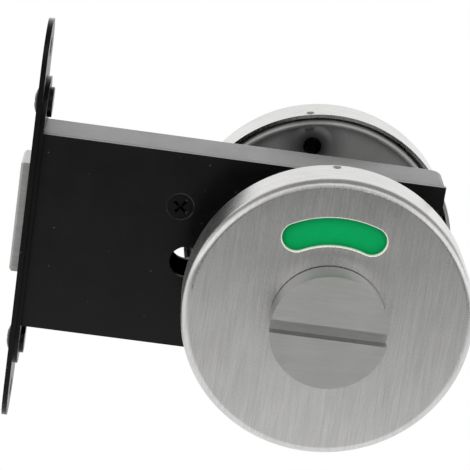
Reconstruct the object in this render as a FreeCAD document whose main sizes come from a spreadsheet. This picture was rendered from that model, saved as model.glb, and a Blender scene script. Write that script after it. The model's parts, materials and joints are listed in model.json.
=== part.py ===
import FreeCAD, Part
import os
from math import cos, radians, sin
from types import SimpleNamespace

import Sketcher

# Bathroom lock with a thumb turn inside and an indicator with a coin release outside.
# Frame, in millimetres: the origin is the centre of the faceplate's outer face, +X runs into the
# door, +Y from the outside of the room to the inside, and +Z up. The bolt is drawn back.

SIZES = {
    # Faceplate and the plate behind it
    "plate_margin": 13.5,
    "plate_width": 20.0,
    "plate_gauge": 1.2,
    "plate_hole_inset": 6.5,
    "plate_hole_diameter": 4.5,
    "plate_hole_mouth": 6.6,
    "forend_margin": 11.5,
    "forend_width": 18.0,
    "forend_gauge": 1.0,
    # Screws that hold the faceplate, and the nuts that are pressed in the forend for them
    "plate_screw_rise_above_case": 5.7,
    "plate_screw_diameter": 4.0,
    "plate_screw_head": 6.3,
    "plate_screw_rise": 1.0,
    "plate_screw_recess": 1.6,
    "nut_diameter": 7.0,
    "nut_rise": 1.0,
    "nut_edge": 0.15,
    "nut_spigot": 5.4,
    # Case of folded sheet
    "case_height": 47.0,
    "bolt_side_gap": 0.6,
    "case_beyond_spindle": 24.5,
    "case_gauge": 1.2,
    "case_rear_bend": 2.6,
    "case_side_bend": 1.0,
    "tab_height": 5.0,
    "tab_inset": 1.7,
    "cover_inset": 0.3,
    "cover_lug_width": 8.0,
    "cover_lug_spacing": 24.0,
    "cover_lug_depth": 3.0,
    "through_hole_diameter": 7.5,
    "through_hole_place": 38.0,
    "through_hole_rise": -2.6,
    # Post and screw that carry the cover, and the post of the spring
    "cover_post_place": 35.0,
    "cover_post_diameter": 5.5,
    "cover_screw_diameter": 3.0,
    "cover_screw_head": 6.0,
    "cover_screw_length": 7.0,
    "spring_post_place": 50.0,
    "spring_post_diameter": 3.0,
    "spigot_diameter": 2.6,
    # Bolt, its tail and the rivets between them
    "bolt_height": 26.5,
    "bolt_width": 10.0,
    "bolt_length": 30.2,
    "bolt_rise": 2.35,
    "bolt_stand_out": 2.2,
    "bolt_throw": 14.0,
    "bolt_edge": 0.5,
    "tail_gauge": 2.5,
    "tail_lap": 12.0,
    "tail_lap_height": 10.4,
    "rivet_diameter": 3.0,
    "rivet_spacing": 5.0,
    "detent_depth": 1.2,
    "detent_width": 2.8,
    "detent_place": 64.0,
    "notch_lip": 5.0,
    "spring_gauge": 0.5,
    "spring_width": 4.0,
    # Follower and spindle
    "backset": 70.0,
    "spindle_height": -3.0,
    "spindle_square": 6.0,
    "follower_journal": 13.0,
    "follower_shoulder": 16.0,
    "follower_waist": 12.2,
    "arm_angle": 45.0,
    "arm_gauge": 3.4,
    "arm_width": 3.0,
    "arm_tip": 4.4,
    # Roses on the two faces of the door
    "door_thickness": 40.5,
    "rose_diameter": 65.0,
    "rose_depth": 11.05,
    "rose_gauge": 0.8,
    "rose_bend": 1.1,
    "rose_turn": 4.3,
    "window_inset": 11.8,
    "window_width": 6.4,
    "window_half_angle": 23.6,
    "window_edge": 0.3,
    "snap_depth": 0.6,
    "snap_rim_gap": 1.5,
    # Mounting plates inside the roses
    "mount_plate_gauge": 1.4,
    "mount_plate_depth": 4.0,
    "mount_plate_bore": 20.0,
    "mount_plate_bend": 1.2,
    "mount_plate_round": 0.7,
    "mount_screw_inset": 6.9,
    "mount_screw_diameter": 4.4,
    "mount_screw_mouth": 8.6,
    "mount_screw_slope": 2.0,
    "mount_plate_turn": 11.5,
    # Coin turn, thumb turn and what holds them in the roses
    "turn_diameter": 26.2,
    "coin_turn_height": 7.1,
    "coin_slot_width": 3.0,
    "coin_slot_depth": 2.4,
    "turn_edge": 0.3,
    "neck_diameter": 14.0,
    "neck_end_gap": 3.2,
    "bush_flange": 0.35,
    "bush_wall": 1.5,
    "bush_length": 2.2,
    "seat_diameter": 13.0,
    "seat_flat": 5.5,
    "ring_gauge": 0.8,
    "ring_width": 2.4,
    "ring_groove": 0.8,
    "ring_half_angle": 145.0,
    "coin_bite": 1.4,
    "thumb_bite": 4.6,
    "indicator_margin": 1.5,
    "indicator_gauge": 1.0,
    "field_gauge": 0.2,
    "field_margin": 1.6,
    "field_half_angle": 38.0,
    "thumb_turn_height": 22.0,
    "thumb_base_height": 6.2,
    "thumb_grip": 6.0,
    "thumb_scoop": 13.0,
    "thumb_round": 1.4,
    "grub_diameter": 4.0,
    "grub_length": 8.6,
    "grub_key": 2.0,
    # Clearances
    "slide_gap": 0.2,
    "running_gap": 0.05,
    "float_gap": 0.05,
    "seat_gap": 0.05,
    "cam_gap": 0.5,
}

doc = FreeCAD.newDocument("ThumbTurnLock")


class Size:
    """A size with the text that the sheet works out and the number it has now."""

    def __init__(self, text, number):
        self.text = text
        self.number = number

    def joined(self, sign, other, number):
        return Size("(%s %s %s)" % (self.text, sign, as_size(other).text), number)

    def __add__(self, other):
        return self.joined("+", other, self.number + as_size(other).number)

    def __sub__(self, other):
        return self.joined("-", other, self.number - as_size(other).number)

    def __mul__(self, other):
        return self.joined("*", other, self.number * as_size(other).number)

    def __truediv__(self, other):
        return self.joined("/", other, self.number / as_size(other).number)

    def __radd__(self, other):
        return as_size(other) + self

    def __rsub__(self, other):
        return as_size(other) - self

    def __rmul__(self, other):
        return as_size(other) * self

    def __neg__(self):
        return Size("(0 - %s)" % self.text, -self.number)


def as_size(value):
    return value if isinstance(value, Size) else Size("%r" % float(value), float(value))


def sine(angle):
    angle = as_size(angle)
    return Size("sin(%s * 1 deg)" % angle.text, sin(radians(angle.number)))


def cosine(angle):
    angle = as_size(angle)
    return Size("cos(%s * 1 deg)" % angle.text, cos(radians(angle.number)))


def write_sheet():
    """Put every driving size in the sheet and return them by name."""
    sheet = doc.addObject("Spreadsheet::Sheet", "Sizes")
    named = {}
    for row, (alias, number) in enumerate(SIZES.items(), 1):
        sheet.set("A%d" % row, alias.replace("_", " "))
        sheet.set("B%d" % row, str(number))
        sheet.setAlias("B%d" % row, alias)
        named[alias] = Size("Sizes." + alias, number)
    doc.recompute()
    return SimpleNamespace(**named)


size = write_sheet()
nodes = {}


# Sketches: each point and radius is held by a constraint that reads the sheet


def bind(item, path, value):
    item.setExpression(path, as_size(value).text)


def place(item, x=0, y=0, z=0):
    for axis, value in zip("xyz", (x, y, z)):
        bind(item, "Placement.Base." + axis, value)


def turn_about(item, axis, degrees):
    item.Placement = FreeCAD.Placement(FreeCAD.Vector(), FreeCAD.Rotation(axis, degrees))


def new_body(label):
    body = doc.addObject("PartDesign::Body", label)
    body.Label = label
    nodes[label] = body
    return body


def sketch_on(body, plane, offset=0, shift=0):
    """Sketch on one of the body's own planes, moved along its normal and its first axis."""
    sketch = body.newObject("Sketcher::SketchObject", body.Label + "_sketch")
    role = plane + "_Plane"
    planes = [feature for feature in body.Origin.OriginFeatures if feature.Role == role]
    sketch.AttachmentSupport = [(planes[0], "")]
    sketch.MapMode = "FlatFace"
    bind(sketch, "AttachmentOffset.Base.x", shift)
    bind(sketch, "AttachmentOffset.Base.z", offset)
    return sketch


def dimension(sketch, kind, where, value):
    value = as_size(value)
    number = sketch.addConstraint(Sketcher.Constraint(kind, *where, value.number))
    bind(sketch, "Constraints[%d]" % number, value)


def locate(sketch, geometry, point, x, y):
    dimension(sketch, "DistanceX", (-1, 1, geometry, point), x)
    dimension(sketch, "DistanceY", (-1, 1, geometry, point), y)


def point_at(x, y):
    return FreeCAD.Vector(as_size(x).number, as_size(y).number, 0)


def add_polygon(sketch, corners):
    count = len(corners)
    points = [point_at(x, y) for x, y in corners]
    lines = []
    for index in range(count):
        line = Part.LineSegment(points[index], points[(index + 1) % count])
        lines.append(sketch.addGeometry(line, False))
    for index, (x, y) in enumerate(corners):
        after = lines[(index + 1) % count]
        sketch.addConstraint(Sketcher.Constraint("Coincident", lines[index], 2, after, 1))
        locate(sketch, lines[index], 1, x, y)


def add_rectangle(sketch, low_x, low_y, high_x, high_y):
    add_polygon(sketch, [(low_x, low_y), (high_x, low_y), (high_x, high_y), (low_x, high_y)])


def add_circle(sketch, x, y, radius):
    circle = Part.Circle(point_at(x, y), FreeCAD.Vector(0, 0, 1), as_size(radius).number)
    number = sketch.addGeometry(circle, False)
    dimension(sketch, "Radius", (number,), radius)
    locate(sketch, number, 3, x, y)


def arc_of(centre, radius, start, end):
    circle = Part.Circle(centre, FreeCAD.Vector(0, 0, 1), radius)
    return Part.ArcOfCircle(circle, radians(start), radians(end))


def add_slot(sketch, start, end, radius, heading):
    """Round-ended slot between two centres; heading is its direction in degrees."""
    reach = as_size(radius).number
    first, last = point_at(*start), point_at(*end)
    side = FreeCAD.Vector(-sin(radians(heading)), cos(radians(heading)), 0) * reach
    far = sketch.addGeometry(arc_of(last, reach, heading - 90, heading + 90), False)
    back = sketch.addGeometry(Part.LineSegment(last + side, first + side), False)
    near = sketch.addGeometry(arc_of(first, reach, heading + 90, heading + 270), False)
    forth = sketch.addGeometry(Part.LineSegment(first - side, last - side), False)
    ring = [far, back, near, forth]
    for index, piece in enumerate(ring):
        after = ring[(index + 1) % 4]
        sketch.addConstraint(Sketcher.Constraint("Tangent", piece, 2, after, 1))
    sketch.addConstraint(Sketcher.Constraint("Equal", far, near))
    dimension(sketch, "Radius", (far,), radius)
    locate(sketch, near, 3, *start)
    locate(sketch, far, 3, *end)


def add_arched_slot(sketch, middle, half_width, turn, half_angle):
    """Slot along an arc about the sketch's origin, its middle turned from straight up."""
    angles = [as_size(turn) - half_angle, as_size(turn) + half_angle]
    centres = [(middle * sine(angle), middle * cosine(angle)) for angle in angles]
    left, right = (90 - angle.number for angle in angles)
    start, end = point_at(*centres[0]), point_at(*centres[1])
    radius, reach = as_size(middle).number, as_size(half_width).number
    origin = FreeCAD.Vector()
    outer = sketch.addGeometry(arc_of(origin, radius + reach, right, left), False)
    near = sketch.addGeometry(arc_of(start, reach, left, left + 180), False)
    inner = sketch.addGeometry(arc_of(origin, radius - reach, right, left), False)
    far = sketch.addGeometry(arc_of(end, reach, right - 180, right), False)
    joints = [(outer, 2, near, 1), (near, 2, inner, 2), (inner, 1, far, 1), (far, 2, outer, 1)]
    for joint in joints:
        sketch.addConstraint(Sketcher.Constraint("Tangent", *joint))
    dimension(sketch, "Radius", (near,), half_width)
    locate(sketch, near, 3, *centres[0])
    locate(sketch, far, 3, *centres[1])
    locate(sketch, outer, 3, 0, 0)


def add_sector(sketch, inside, outside, middle, half_angle):
    """Part of a flat ring about the sketch's origin, centred on a clockwise angle."""
    angles = [as_size(middle) - half_angle, as_size(middle) + half_angle]
    left, right = (90 - angle.number for angle in angles)
    arcs = []
    for radius in (outside, inside):
        arc = arc_of(FreeCAD.Vector(), as_size(radius).number, right, left)
        arcs.append(sketch.addGeometry(arc, False))
        dimension(sketch, "Radius", (arcs[-1],), radius)
        locate(sketch, arcs[-1], 3, 0, 0)
    for point, angle in ((2, angles[0]), (1, angles[1])):
        ends = [point_at(radius * sine(angle), radius * cosine(angle)) for radius in (outside, inside)]
        side = sketch.addGeometry(Part.LineSegment(*ends), False)
        sketch.addConstraint(Sketcher.Constraint("Coincident", side, 1, arcs[0], point))
        sketch.addConstraint(Sketcher.Constraint("Coincident", side, 2, arcs[1], point))
        dimension(sketch, "DistanceX", (-1, 1, side, 1), outside * sine(angle))
        dimension(sketch, "DistanceX", (-1, 1, side, 2), inside * sine(angle))


# Features


def add_feature(body, kind, sketch=None):
    feature = body.newObject("PartDesign::" + kind, body.Label + "_" + kind.lower())
    if sketch is not None:
        feature.Profile = sketch
    return feature


def pad(body, sketch, length, symmetric=False, back=False):
    feature = add_feature(body, "Pad", sketch)
    feature.SideType = "Symmetric" if symmetric else "One side"
    feature.Reversed = back
    bind(feature, "Length", length)
    return feature


def check_cut(body, before):
    doc.recompute()
    if body.Shape.Volume > before - 1e-6:
        raise RuntimeError(body.Label + ": a cut takes nothing away")


def pocket(body, sketch, depth=None, back=False):
    """Cut to a depth, or both ways through the whole body where no depth is given."""
    doc.recompute()
    before = body.Shape.Volume
    feature = add_feature(body, "Pocket", sketch)
    if depth is None:
        feature.SideType = "Symmetric"
        feature.Type = "ThroughAll"
    else:
        feature.Reversed = back
        bind(feature, "Length", depth)
    check_cut(body, before)
    return feature


def revolve(body, corners, cut=False, sketch=None):
    """Turned form about the sketch's upright axis, from a profile of (radius, place on it)."""
    doc.recompute()
    before = body.Shape.Volume if cut else 0
    if sketch is None:
        sketch = sketch_on(body, "XY")
        add_polygon(sketch, corners)
    feature = add_feature(body, "Groove" if cut else "Revolution", sketch)
    feature.ReferenceAxis = (sketch, ["V_Axis"])
    feature.Angle = 360
    if cut:
        check_cut(body, before)
    return feature


def countersunk_holes(body, sketch, diameter, mouth, back=False):
    doc.recompute()
    before = body.Shape.Volume
    hole = add_feature(body, "Hole", sketch)
    hole.DepthType = "ThroughAll"
    hole.Reversed = back
    hole.HoleCutType = "Countersink"
    hole.HoleCutCustomValues = True
    hole.HoleCutCountersinkAngle = 90
    bind(hole, "Diameter", diameter)
    bind(hole, "HoleCutDiameter", mouth)
    check_cut(body, before)
    return hole


def soften(body, kind, length, wanted):
    """Fillet or chamfer the edges of the body for which wanted(box, edge) is true."""
    doc.recompute()
    base = body.Tip
    names = []
    for number, edge in enumerate(base.Shape.Edges, 1):
        if wanted(edge.BoundBox, edge):
            names.append("Edge%d" % number)
    if not names:
        raise RuntimeError(body.Label + ": no edge to soften")
    feature = add_feature(body, kind)
    feature.Base = (base, names)
    bind(feature, "Radius" if kind == "Fillet" else "Size", length)
    doc.recompute()
    return feature


def near(first, second, margin=1e-4):
    return abs(first - as_size(second).number) < margin


def ring_edge(box, radius, height):
    """Whether a box is that of a full circle about the Y axis at that place on it."""
    flat = near(box.YMin, height) and near(box.YMax, height)
    return flat and near(box.XMax, radius, 0.01) and near(box.ZMax, radius, 0.01)


def cross_recess(body, face, across, depth):
    """Cross-shaped recess for a driver, cut into the head along +Y from the face."""
    half, arm = across / 2, across / 10
    sketch = sketch_on(body, "XZ", -as_size(face))
    corners = [(half, arm), (arm, arm), (arm, half), (-arm, half), (-arm, arm), (-half, arm)]
    corners += [(-x, -y) for x, y in corners]
    add_polygon(sketch, corners)
    feature = pocket(body, sketch, depth, back=False)
    feature.TaperAngle = -8
    return feature


# Places that several pieces share

case_front = size.plate_gauge + size.forend_gauge
case_rear = size.backset + size.case_beyond_spindle
case_inside = size.bolt_width / 2 + size.bolt_side_gap
half_case = case_inside + size.case_gauge
case_top = size.case_height / 2
tab_high = case_top - size.tab_inset
tab_low = tab_high - size.tab_height
plate_screw = case_top + size.plate_screw_rise_above_case
forend_end = case_top + size.forend_margin
plate_end = forend_end + size.plate_margin
rim = size.door_thickness / 2

eye_inside = size.spring_post_diameter / 2 + size.running_gap
eye_outside = eye_inside + size.spring_gauge
spring_rise = case_top - size.case_gauge - size.slide_gap - eye_outside
spring_low = spring_rise - eye_outside
tail_low = size.spindle_height + size.follower_waist / 2 + 2.5 * size.slide_gap
tail_high = spring_low - 1.5 * size.slide_gap
tail_middle = (tail_low + tail_high) / 2
tail_end = size.backset + size.bolt_throw / 2 + size.notch_lip + size.arm_tip / 2
arm_radius = size.bolt_throw / (2 * sine(size.arm_angle))
notch_half = size.arm_tip / 2 + size.cam_gap
notch_place = size.backset + size.bolt_throw / 2
notch_top = size.spindle_height + arm_radius + notch_half
bolt_back = size.bolt_length - size.bolt_stand_out
bolt_low = size.bolt_rise - size.bolt_height / 2
bolt_high = size.bolt_rise + size.bolt_height / 2

turn_seat = size.bush_flange + size.float_gap
turn_foot = rim + size.rose_depth + turn_seat
neck_length = size.rose_depth + turn_seat - size.neck_end_gap
neck_radius = size.neck_diameter / 2
seat_radius = size.seat_diameter / 2
shoulder = size.bush_length + 2 * size.float_gap
groove_radius = seat_radius - size.ring_groove
ring_inside = groove_radius + size.seat_gap
ring_outside = ring_inside + size.ring_width
bush_outside = neck_radius + size.running_gap + size.bush_wall
rose_radius = size.rose_diameter / 2
window_middle = rose_radius - size.window_inset
field_reach = size.window_width / 2 + size.field_margin
indicator_radius = window_middle + field_reach + size.indicator_margin
plate_radius = rose_radius - size.rose_gauge - size.snap_depth - size.slide_gap


def door_plate(label, start, end, width, gauge, hole_rows):
    """Flat plate across the door's edge, with round ends and an opening for the bolt."""
    body = new_body(label)
    sketch = sketch_on(body, "YZ", start)
    reach = end - width / 2
    add_slot(sketch, (0, -reach), (0, reach), width / 2, 90)
    pad(body, sketch, gauge)
    opening = sketch_on(body, "YZ", start)
    half = size.bolt_width / 2 + size.slide_gap
    add_rectangle(opening, -half, bolt_low - size.slide_gap, half, bolt_high + size.slide_gap)
    pocket(body, opening)
    for rise, diameter, mouth in hole_rows:
        holes = sketch_on(body, "YZ", start)
        for side in (-1, 1):
            add_circle(holes, 0, side * rise, diameter / 2)
        if mouth is None:
            pocket(body, holes)
        else:
            countersunk_holes(body, holes, diameter, mouth, back=True)
    return body


def make_faceplate():
    loose = size.plate_screw_diameter + 2 * size.running_gap
    mouth = size.plate_screw_head + 2 * size.seat_gap
    holes = [
        (plate_screw, loose, mouth),
        (plate_end - size.plate_hole_inset, size.plate_hole_diameter, size.plate_hole_mouth),
    ]
    door_plate("faceplate", 0, plate_end, size.plate_width, size.plate_gauge, holes)


def make_inner_forend():
    """Plate on the front of the case: round holes for two nuts, slots for the case's tabs."""
    start = size.plate_gauge
    holes = [(plate_screw, size.nut_spigot + 2 * size.seat_gap, None)]
    body = door_plate("inner_forend", start, forend_end, size.forend_width,
                      size.forend_gauge, holes)
    slots = sketch_on(body, "YZ", start)
    gap = size.seat_gap
    for low, high in ((tab_low - gap, tab_high + gap), (-tab_high - gap, gap - tab_low)):
        add_rectangle(slots, case_inside - gap, low, half_case + gap, high)
    pocket(body, slots)


def add_turned_pair(label, corners, driven=None):
    """Turned piece above the bolt, from its profile along +X, and its like below."""
    body = doc.addObject("PartDesign::Body", label + "_upper")
    sketch = sketch_on(body, "XY")
    add_polygon(sketch, corners)
    revolve(body, None, sketch=sketch)
    if driven is not None:
        cross_recess(body, *driven)
    turn_about(body, FreeCAD.Vector(0, 0, 1), -90)
    bind(body, "Placement.Base.z", plate_screw)
    twin = doc.addObject("Part::Mirroring", label + "_lower")
    twin.Source = body
    twin.Normal = FreeCAD.Vector(0, 0, 1)
    pair = doc.addObject("Part::Compound", label)
    pair.Label = label
    pair.Links = [body, twin]
    nodes[label] = pair


def make_faceplate_screws():
    """Raised countersunk screws, which end flush with the nuts."""
    head, shank = size.plate_screw_head / 2, size.plate_screw_diameter / 2
    rise, length = size.plate_screw_rise, case_front + size.nut_rise
    corners = [(0, -rise), (head * 0.45, -rise), (head * 0.86, -rise * 0.55), (head, 0)]
    corners += [(shank, head - shank), (shank, length), (0, length)]
    add_turned_pair("faceplate_screws", corners, (-rise, head * 1.1, size.plate_screw_recess))


def make_forend_nuts():
    """Round nuts, pressed in the forend from behind."""
    bore = size.plate_screw_diameter / 2 + size.running_gap
    spigot, radius, edge = size.nut_spigot / 2, size.nut_diameter / 2, size.nut_edge
    end = case_front + size.nut_rise
    corners = [(bore, size.plate_gauge), (spigot, size.plate_gauge), (spigot, case_front)]
    corners += [(radius, case_front), (radius, end - edge), (radius - edge, end), (bore, end)]
    add_turned_pair("forend_nuts", corners)


def make_case_body():
    """Back wall and three turned-in sides, folded from one sheet, with two tabs in the forend."""
    body = new_body("case_body")
    gauge, rear = size.case_gauge, case_rear
    depth = half_case + case_inside
    block = sketch_on(body, "XZ", -half_case)
    add_rectangle(block, case_front, -case_top, rear, case_top)
    pad(body, block, depth)
    soften(body, "Fillet", size.case_rear_bend,
           lambda box, edge: near(box.XMin, rear) and near(box.YMin, half_case)
           and near(box.YMax, half_case) and near(box.ZLength, size.case_height))
    soften(body, "Fillet", size.case_side_bend,
           lambda box, edge: near(box.YMin, half_case) and near(box.YMax, half_case)
           and box.XLength > 1 and box.ZLength < 1e-3)
    hollow = sketch_on(body, "XZ", case_inside)
    add_rectangle(hollow, case_front - 1, gauge - case_top, rear - gauge, case_top - gauge)
    pocket(body, hollow, 2 * case_inside)
    tabs = sketch_on(body, "XZ", -half_case)
    for low, high in ((tab_low, tab_high), (-tab_high, -tab_low)):
        add_rectangle(tabs, size.plate_gauge, low, case_front + gauge, high)
    pad(body, tabs, gauge)
    notches = sketch_on(body, "XZ", case_inside)
    for side in (-1, 1):
        middle = side * size.cover_lug_spacing / 2
        half = size.cover_lug_width / 2 + size.slide_gap
        add_rectangle(notches, rear - gauge - 1, middle - half, rear + 1, middle + half)
    pocket(body, notches, size.cover_lug_depth + size.slide_gap)
    holes = wall_holes(body, 0)
    for x, z in ((size.cover_post_place, tail_middle), (size.spring_post_place, spring_rise)):
        add_circle(holes, x, z, size.spigot_diameter / 2 + size.seat_gap)
    pocket(body, holes, half_case + 1)


def wall_holes(body, offset):
    """Bearing hole of the follower and the clear hole, which both walls of the case have."""
    holes = sketch_on(body, "XZ", offset)
    bearing = size.follower_journal / 2 + size.running_gap
    add_circle(holes, size.backset, size.spindle_height, bearing)
    add_circle(holes, size.through_hole_place, size.through_hole_rise,
               size.through_hole_diameter / 2)
    return holes


def make_case_cover():
    """Flat cover, set in a little from the case's edges, with two lugs in the rear wall."""
    body = new_body("case_cover")
    gauge = size.case_gauge
    end = case_rear - size.cover_inset
    top = case_top - size.cover_inset
    sheet = sketch_on(body, "XZ", half_case)
    add_rectangle(sheet, case_front, -top, end, top)
    pad(body, sheet, gauge, back=True)
    lugs = sketch_on(body, "XZ", case_inside)
    for side in (-1, 1):
        middle, half = side * size.cover_lug_spacing / 2, size.cover_lug_width / 2
        add_rectangle(lugs, case_rear - gauge, middle - half, end, middle + half)
    pad(body, lugs, size.cover_lug_depth, back=True)
    pocket(body, wall_holes(body, half_case), gauge + 1)
    screw = sketch_on(body, "XZ", half_case)
    add_circle(screw, size.cover_post_place, tail_middle, size.cover_screw_diameter / 2)
    countersunk_holes(body, screw, size.cover_screw_diameter + 2 * size.running_gap,
                      size.cover_screw_head + 2 * size.seat_gap)


def make_cover_post():
    """Post that guides the bolt's tail and takes the cover's screw, riveted in the back wall."""
    body = new_body("cover_post")
    barrel, spigot = size.cover_post_diameter / 2, size.spigot_diameter / 2
    thread = size.cover_screw_diameter / 2 + size.running_gap
    mouth = size.cover_screw_head / 2 - size.case_gauge + 2 * size.running_gap
    floor = size.cover_screw_length + 1 - half_case
    corners = [(mouth, -case_inside), (barrel, -case_inside), (barrel, case_inside)]
    corners += [(spigot, case_inside), (spigot, half_case), (0, half_case), (0, floor)]
    corners += [(thread, floor), (thread, mouth - thread - case_inside)]
    revolve(body, corners)
    place(body, size.cover_post_place, 0, tail_middle)


def make_cover_screw():
    body = new_body("cover_screw")
    head, shank = size.cover_screw_head / 2, size.cover_screw_diameter / 2
    end = size.cover_screw_length - half_case
    corners = [(0, -half_case), (head, -half_case), (shank, head - shank - half_case)]
    corners += [(shank, end), (0, end)]
    revolve(body, corners)
    cross_recess(body, -half_case, head * 1.15, head * 0.4)
    place(body, size.cover_post_place, 0, tail_middle)


def make_spring_post():
    """Waisted post between the walls, with the spring's eye round its waist."""
    body = new_body("spring_post")
    waist, collar = size.spring_post_diameter / 2, eye_outside
    spigot, low = size.spigot_diameter / 2, size.spring_width / 2 + size.slide_gap
    corners = [(0, -case_inside), (collar, -case_inside), (collar, -low), (waist, -low)]
    corners += [(waist, low), (collar, low), (collar, case_inside), (spigot, case_inside)]
    corners += [(spigot, half_case), (0, half_case)]
    revolve(body, corners)
    place(body, size.spring_post_place, 0, spring_rise)


def make_detent_spring():
    """Leaf with an eye round its post, a bend in the tail's notch and a leg under the top wall."""
    body = new_body("detent_spring")
    post, gauge, width = size.spring_post_place, size.spring_gauge, size.spring_width
    ring = sketch_on(body, "XZ")
    add_circle(ring, post, spring_rise, eye_outside)
    add_circle(ring, post, spring_rise, eye_inside)
    pad(body, ring, width, symmetric=True)
    bend, half = size.detent_place, size.detent_width * 0.4
    tip = tail_high - size.detent_depth + 2 * size.slide_gap
    lift = half * 1.3
    corners = [(post, spring_low), (bend - half, spring_low), (bend, tip), (bend + half, spring_low)]
    corners += [(bend + half + 2 * lift, spring_low + lift)]
    corners += [(bend + half + 1.8 * lift, spring_low + lift + gauge)]
    corners += [(bend + half - gauge / 2, spring_low + gauge), (bend, tip + 1.4 * gauge)]
    corners += [(bend - half + gauge / 2, spring_low + gauge), (post, spring_low + gauge)]
    leaf = sketch_on(body, "XZ")
    add_polygon(leaf, corners)
    pad(body, leaf, width, symmetric=True)
    leg = sketch_on(body, "XZ")
    top = spring_rise + eye_outside
    add_rectangle(leg, post - 4 * eye_outside, top - gauge, post, top)
    pad(body, leg, width, symmetric=True)


def make_bolt_head():
    """Rectangular bolt, slotted at the back for its tail."""
    body = new_body("bolt_head")
    block = sketch_on(body, "XZ")
    add_rectangle(block, -size.bolt_stand_out, bolt_low, bolt_back, bolt_high)
    pad(body, block, size.bolt_width, symmetric=True)
    soften(body, "Chamfer", size.bolt_edge,
           lambda box, edge: near(box.XMin, -size.bolt_stand_out)
           and near(box.XMax, -size.bolt_stand_out))
    slot = sketch_on(body, "XZ", (size.tail_gauge / 2) + size.running_gap)
    add_rectangle(slot, bolt_back - size.tail_lap - size.slide_gap, bolt_low - 1,
                  bolt_back + 1, bolt_high + 1)
    pocket(body, slot, size.tail_gauge + 2 * size.running_gap)
    holes = sketch_on(body, "XZ")
    for x, z in rivet_places():
        add_circle(holes, x, z, size.rivet_diameter / 2 + size.seat_gap)
    pocket(body, holes)


def rivet_places():
    middle = bolt_back - size.tail_lap / 2
    rise = tail_low + size.tail_lap_height / 2
    return [(middle + side * size.rivet_spacing / 2, rise) for side in (-1, 1)]


def make_bolt_tail():
    """Flat tail: guide slot for the post, notch for the cam, two detents on its top edge."""
    body = new_body("bolt_tail")
    start, lap_end = bolt_back - size.tail_lap, bolt_back + size.slide_gap
    lap_top = tail_low + size.tail_lap_height
    shoulder_end = lap_end + (tail_high - lap_top) / 2
    outline = [(start, tail_low), (start, lap_top), (lap_end, lap_top), (shoulder_end, tail_high)]
    for middle in (size.detent_place, size.detent_place + size.bolt_throw):
        half = size.detent_width / 2
        outline += [(middle - half, tail_high), (middle, tail_high - size.detent_depth)]
        outline += [(middle + half, tail_high)]
    outline += [(tail_end, tail_high), (tail_end, tail_low)]
    low, high = notch_place - notch_half, notch_place + notch_half
    outline += [(high, tail_low), (high, notch_top), (low, notch_top), (low, tail_low)]
    sheet = sketch_on(body, "XZ")
    add_polygon(sheet, outline)
    pad(body, sheet, size.tail_gauge, symmetric=True)
    soften(body, "Fillet", notch_half / 2,
           lambda box, edge: near(box.ZMin, notch_top) and near(box.ZMax, notch_top)
           and near(box.YLength, size.tail_gauge))
    holes = sketch_on(body, "XZ")
    post = size.cover_post_place
    add_slot(holes, (post - size.slide_gap, tail_middle),
             (post + size.bolt_throw + size.slide_gap, tail_middle),
             size.cover_post_diameter / 2 + size.slide_gap, 0)
    for x, z in rivet_places():
        add_circle(holes, x, z, size.rivet_diameter / 2 + size.seat_gap)
    pocket(body, holes)


def make_bolt_rivets():
    rivets = []
    for number, (x, z) in enumerate(rivet_places(), 1):
        rivet = doc.addObject("Part::Cylinder", "rivet_%d" % number)
        bind(rivet, "Radius", size.rivet_diameter / 2)
        bind(rivet, "Height", size.bolt_width)
        turn_about(rivet, FreeCAD.Vector(1, 0, 0), 90)
        place(rivet, x, size.bolt_width / 2, z)
        rivets.append(rivet)
    pair = doc.addObject("Part::Compound", "bolt_rivets")
    pair.Label = "bolt_rivets"
    pair.Links = rivets
    nodes[pair.Label] = pair


def add_square(body, start, across):
    sketch = sketch_on(body, "XZ", start)
    add_rectangle(sketch, -across / 2, -across / 2, across / 2, across / 2)
    return sketch


def make_follower():
    """Hub that turns in both walls of the case, with a cam arm in its waist."""
    body = new_body("follower")
    journal, waist = size.follower_journal / 2, size.follower_waist / 2
    flange = size.follower_shoulder / 2
    step, half = case_inside - size.slide_gap, size.arm_gauge / 2 + size.slide_gap
    corners = [(0, -half_case), (journal, -half_case), (journal, -step), (flange, -step)]
    corners += [(flange, -half), (waist, -half)]
    corners += [(radius, -y) for radius, y in reversed(corners)]
    revolve(body, corners)
    lean_x, lean_z = sine(size.arm_angle), cosine(size.arm_angle)
    side_x, side_z = size.arm_width / 2 * lean_z, size.arm_width / 2 * lean_x
    tip_x, tip_z = arm_radius * lean_x, arm_radius * lean_z
    arm = sketch_on(body, "XZ")
    add_polygon(arm, [(side_x, -side_z), (tip_x + side_x, tip_z - side_z),
                      (tip_x - side_x, tip_z + side_z), (-side_x, side_z)])
    pad(body, arm, size.arm_gauge, symmetric=True)
    tip = sketch_on(body, "XZ")
    add_circle(tip, tip_x, tip_z, size.arm_tip / 2)
    pad(body, tip, size.arm_gauge, symmetric=True)
    pocket(body, add_square(body, 0, size.spindle_square + 2 * size.running_gap))
    place(body, size.backset, 0, size.spindle_height)


def make_spindle():
    body = new_body("spindle")
    start = turn_foot + size.coin_bite - 2 * size.slide_gap
    end = turn_foot + size.thumb_bite - 2 * size.slide_gap
    pad(body, add_square(body, start, size.spindle_square), start + end, back=True)
    soften(body, "Chamfer", 2 * size.slide_gap,
           lambda box, edge: box.YLength < 1e-3)
    place(body, size.backset, 0, size.spindle_height)


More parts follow.
